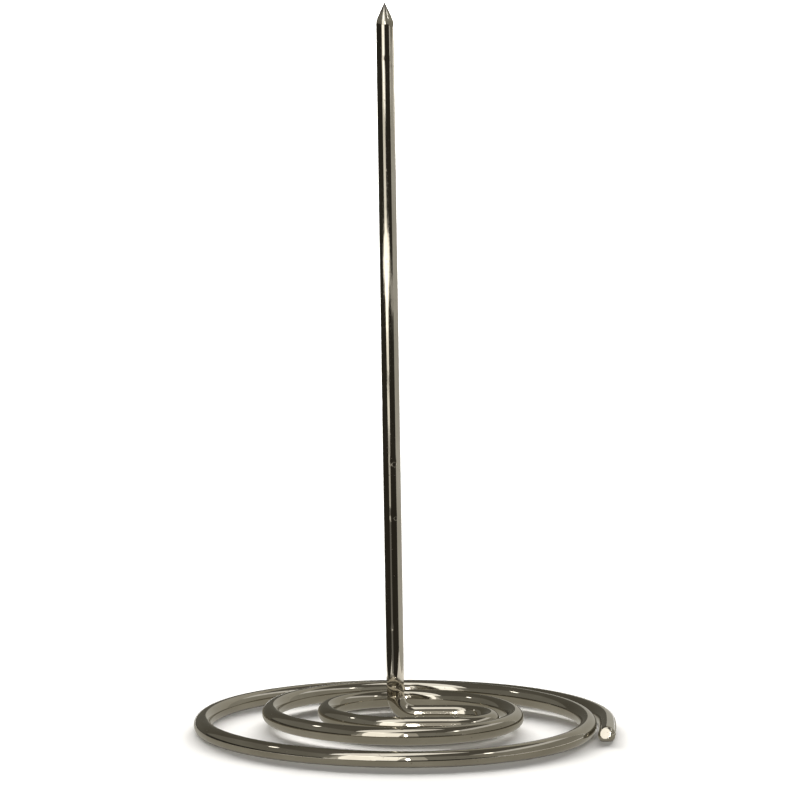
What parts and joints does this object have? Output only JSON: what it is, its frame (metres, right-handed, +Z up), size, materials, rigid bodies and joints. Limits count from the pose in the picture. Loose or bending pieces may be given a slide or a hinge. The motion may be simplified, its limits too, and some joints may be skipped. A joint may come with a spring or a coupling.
{
  "type": "bill spike",
  "caption": "Upright wire spike with a ground point, bent at its foot and wound into a flat open spiral base that stands on a desk, so that papers pushed down over the point stay on it.",
  "frame": {"origin": "on the table, under the middle of the whole part's box", "axes": "+Z up, +X to the right and +Y to the back as the spike is seen in the picture"},
  "size_m": [0.0886, 0.089, 0.1524],
  "materials": {
    "plated_wire": "bright plate on drawn steel wire",
    "ground_point": "ground cone, plated over"
  },
  "bodies": {
    "root": {"spike_point": "ground_point", "spike_shaft": "plated_wire", "foot_bend": "plated_wire", "inner_turn": "plated_wire", "middle_turn": "plated_wire", "rising_turn": "plated_wire", "outer_ring": "plated_wire", "tail": "plated_wire"}
  },
  "joints": []
}
